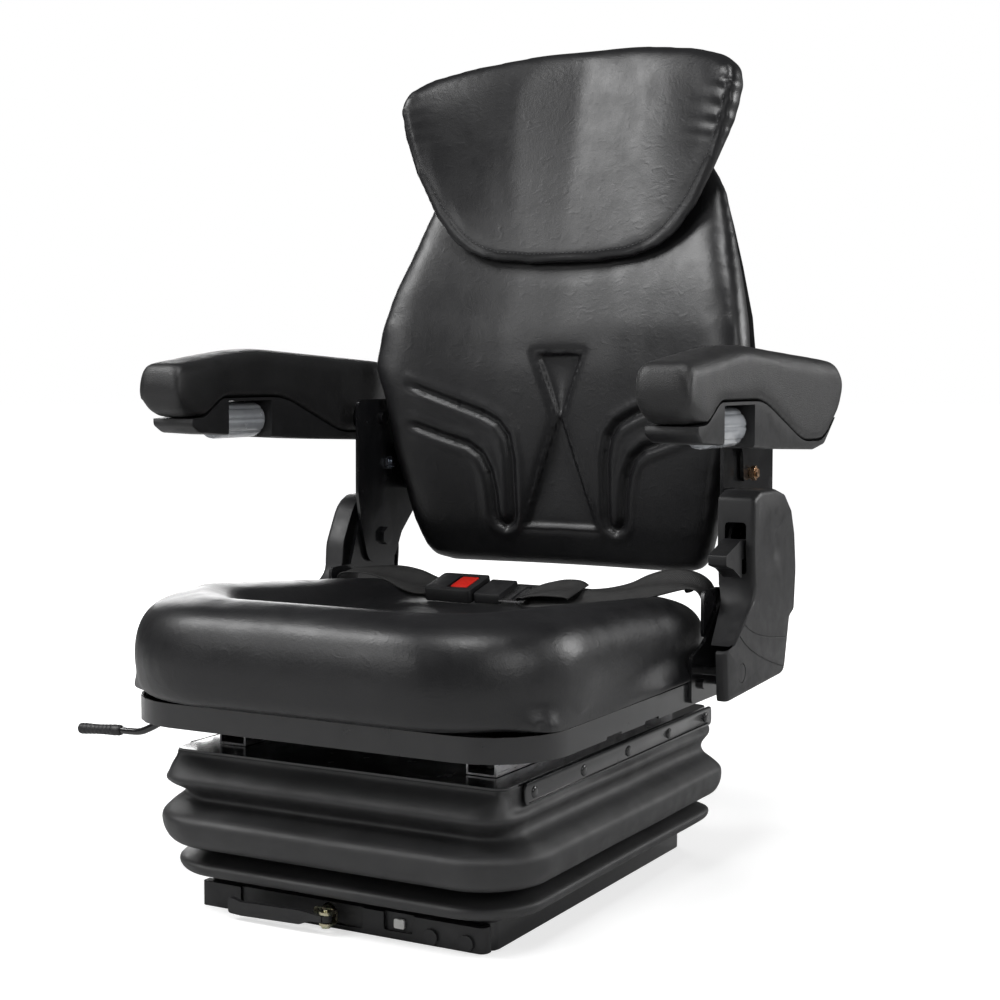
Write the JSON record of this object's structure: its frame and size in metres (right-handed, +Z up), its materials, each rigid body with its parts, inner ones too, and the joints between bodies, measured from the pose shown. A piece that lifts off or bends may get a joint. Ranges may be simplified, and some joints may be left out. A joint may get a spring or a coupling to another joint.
{
  "type": "tractor suspension seat",
  "caption": "Tractor seat: bellows-covered scissor suspension, slide rails, cushion with lap belt, reclining backrest, winged headrest and folding armrests.",
  "frame": {"origin": "middle of the base's flat underside", "axes": "+Z up, the seat faces -Y, and +X is the sitter's left"},
  "size_m": [0.7273, 0.7014, 0.955],
  "materials": {
    "black_steel": "gloss black enamel",
    "bare_steel": "satin",
    "zinc": "zinc plated, yellow passivated",
    "black_plastic": "fine grain",
    "bellows_rubber": "satin, fine grain",
    "black_vinyl": "soft gloss vinyl",
    "armrest_skin": "skinned foam, grained",
    "grey_wheel": "translucent grey",
    "white_window": "white",
    "red_button": "red",
    "black_webbing": "woven polyester"
  },
  "bodies": {
    "base": {"lower_frame": "black_steel", "front_housing": "black_plastic", "weight_window": "white_window", "lower_pivot": "bare_steel", "bellows": "bellows_rubber", "spring_left": "black_steel", "spring_right": "black_steel"},
    "upper": {"upper_frame": "black_steel", "upper_pivot": "bare_steel", "trim_strip_left": "black_steel", "trim_strip_right": "black_steel", "lower_rail_left": "bare_steel", "lower_rail_right": "bare_steel"},
    "outer_arms": {"outer_arms": "black_steel"},
    "inner_arms": {"inner_arms": "black_steel"},
    "upper_axle": {"upper_axle": "bare_steel"},
    "lower_axle": {"lower_axle": "bare_steel"},
    "damper_tube": {"damper_tube": "black_steel"},
    "damper_rod": {"damper_rod": "bare_steel"},
    "weight_yoke": {"weight_yoke": "zinc"},
    "weight_lever": {"weight_lever": "black_plastic"},
    "seat": {"upper_rail_left": "black_steel", "upper_rail_right": "black_steel", "hinge_bracket_left": "black_steel", "hinge_bracket_right": "black_steel", "hinge_cover_left": "black_plastic", "hinge_cover_right": "black_plastic", "belt_webbing_left": "black_webbing", "belt_webbing_right": "black_webbing", "seat_pan": "black_steel", "seat_cushion": "black_vinyl", "belt_buckle": "black_plastic", "belt_tongue": "bare_steel", "belt_keeper": "black_plastic"},
    "slide_lever": {"slide_lever": "black_steel", "slide_grip": "black_plastic"},
    "recline_lever": {"recline_lever": "black_plastic"},
    "back": {"back_plate_left": "black_steel", "back_plate_right": "black_steel", "recliner_bolt_left": "zinc", "recliner_bolt_right": "zinc", "stop_bolt_left": "zinc", "stop_bolt_right": "zinc", "armrest_bolt_left": "zinc", "armrest_bolt_right": "zinc", "back_cushion": "black_vinyl", "back_shell": "black_plastic"},
    "headrest": {"headrest_carrier": "black_steel", "headrest_pad": "black_vinyl"},
    "armrest_left": {"armrest_bracket_left": "black_steel", "armrest_cover_left": "black_plastic", "armrest_pad_left": "armrest_skin"},
    "armrest_right": {"armrest_bracket_right": "black_steel", "armrest_cover_right": "black_plastic", "armrest_pad_right": "armrest_skin"},
    "wheel_left": {"armrest_wheel_left": "grey_wheel"},
    "wheel_right": {"armrest_wheel_right": "grey_wheel"},
    "button": {"belt_button": "red_button"}
  },
  "joints": [
    {"name": "suspension", "type": "slide", "parent": "base", "child": "upper", "axis": [0, 0, 1], "range_m": [-0.06, 0], "stiffness_N_per_m": 9000, "springref_m": 0.047, "deforming": ["bellows", "spring_left", "spring_right"]},
    {"name": "outer_arm_hinge", "type": "hinge", "parent": "base", "child": "outer_arms", "pos_m": [0, 0.165, 0.0155], "axis": [1, 0, 0], "range_deg": [-0.2, 10.3]},
    {"name": "inner_arm_hinge", "type": "hinge", "parent": "upper", "child": "inner_arms", "pos_m": [0, 0.165, 0.1445], "axis": [1, 0, 0], "range_deg": [-10.3, 0.2]},
    {"name": "upper_axle_spin", "type": "hinge", "parent": "outer_arms", "child": "upper_axle", "pos_m": [0, -0.165, 0.1445], "axis": [1, 0, 0], "range_deg": [-103, 2]},
    {"name": "lower_axle_spin", "type": "hinge", "parent": "inner_arms", "child": "lower_axle", "pos_m": [0, -0.165, 0.0155], "axis": [1, 0, 0], "range_deg": [-2, 103]},
    {"name": "damper_tilt", "type": "hinge", "parent": "base", "child": "damper_tube", "pos_m": [0, 0.085, 0.02], "axis": [1, 0, 0], "range_deg": [-0.2, 13.1]},
    {"name": "damper_stroke", "type": "slide", "parent": "damper_tube", "child": "damper_rod", "axis": [0, -0.8866, 0.4626], "range_m": [-0.022, 0.0002]},
    {"name": "weight_swing", "type": "hinge", "parent": "base", "child": "weight_yoke", "pos_m": [-0.012, -0.2574, 0.0165], "axis": [0, 1, 0], "range_deg": [-3, 12]},
    {"name": "weight_fold", "type": "hinge", "parent": "weight_yoke", "child": "weight_lever", "pos_m": [0, -0.2574, 0.0165], "axis": [0, 0, 1], "range_deg": [0, 75]},
    {"name": "seat_slide", "type": "slide", "parent": "upper", "child": "seat", "axis": [0, 1, 0], "range_m": [-0.075, 0.075]},
    {"name": "slide_lever_lift", "type": "hinge", "parent": "seat", "child": "slide_lever", "pos_m": [-0.205, -0.175, 0.18], "axis": [0, 1, 0], "range_deg": [0, 15], "stiffness_Nm_per_rad": 1.5, "springref_deg": -8.59},
    {"name": "recline", "type": "hinge", "parent": "seat", "child": "back", "pos_m": [0, 0.225, 0.348], "axis": [-1, 0, 0], "range_deg": [-10, 25]},
    {"name": "recline_lever_lift", "type": "hinge", "parent": "seat", "child": "recline_lever", "pos_m": [0.2608, 0.182, 0.36], "axis": [-1, 0, 0], "range_deg": [0, 14], "stiffness_Nm_per_rad": 0.8, "springref_deg": -6.88},
    {"name": "headrest_height", "type": "slide", "parent": "back", "child": "headrest", "axis": [0, 0.1392, 0.9903], "range_m": [0, 0.07]},
    {"name": "armrest_left_lift", "type": "hinge", "parent": "back", "child": "armrest_left", "pos_m": [0.2494, 0.223, 0.498], "axis": [-1, 0, 0], "range_deg": [0, 90]},
    {"name": "armrest_right_lift", "type": "hinge", "parent": "back", "child": "armrest_right", "pos_m": [-0.2494, 0.223, 0.498], "axis": [-1, 0, 0], "range_deg": [0, 90]},
    {"name": "wheel_left_turn", "type": "hinge", "parent": "armrest_left", "child": "wheel_left", "pos_m": [0.3045, -0.046, 0.5005], "axis": [0, 1, 0], "range_deg": [-60, 60]},
    {"name": "wheel_right_turn", "type": "hinge", "parent": "armrest_right", "child": "wheel_right", "pos_m": [-0.3045, -0.046, 0.5005], "axis": [0, 1, 0], "range_deg": [-60, 60]},
    {"name": "button_press", "type": "slide", "parent": "seat", "child": "button", "axis": [-1, 0, 0], "range_m": [0, 0.0035], "stiffness_N_per_m": 600, "springref_m": -0.001}
  ],
  "couplings": [
    {"joint": "outer_arm_hinge", "follows": "suspension", "rad_per_m": -2.945},
    {"joint": "inner_arm_hinge", "follows": "suspension", "rad_per_m": 2.945},
    {"joint": "upper_axle_spin", "follows": "suspension", "rad_per_m": 29.4},
    {"joint": "lower_axle_spin", "follows": "suspension", "rad_per_m": -29.4},
    {"joint": "damper_tilt", "follows": "suspension", "rad_per_m": -3.762},
    {"joint": "damper_stroke", "follows": "suspension", "ratio": 0.362}
  ]
}
